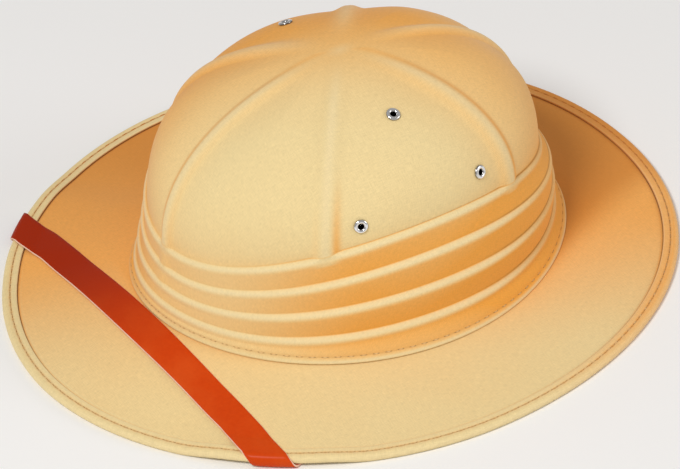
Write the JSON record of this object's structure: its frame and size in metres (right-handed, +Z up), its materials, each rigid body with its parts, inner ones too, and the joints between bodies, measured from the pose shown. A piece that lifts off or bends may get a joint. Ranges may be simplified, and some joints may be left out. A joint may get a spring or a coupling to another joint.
{
  "type": "pith helmet",
  "caption": "Safari-style pith helmet: moulded cloth crown with raised ridges and pleats, wide oval bound brim, vent eyelets and a flat chin strap over the front of the brim.",
  "frame": {"origin": "middle of the hat's footprint, on the plane that the underside of the rim rests on", "axes": "+Z up through the crown, -Y out over the front of the brim, +X to the wearer's left"},
  "size_m": [0.306, 0.3312, 0.1212],
  "materials": {
    "crown_cloth": "matt pale khaki moulded cloth, deeper amber in the recesses",
    "brim_cloth": "matt pale khaki cloth over a stiff board",
    "binding_cloth": "folded cloth tape with one row of stitches",
    "strap_leather": "rust-red smooth leather, satin, with a pale raw edge",
    "eyelet_metal": "polished nickel plate"
  },
  "bodies": {
    "root": {"crown": "crown_cloth", "brim": "brim_cloth", "edge_binding": "binding_cloth", "chin_strap": "strap_leather", "eyelet_left_top": "eyelet_metal", "eyelet_left_front": "eyelet_metal", "eyelet_left_rear": "eyelet_metal", "eyelet_right_top": "eyelet_metal", "eyelet_right_front": "eyelet_metal", "eyelet_right_rear": "eyelet_metal"}
  },
  "joints": []
}
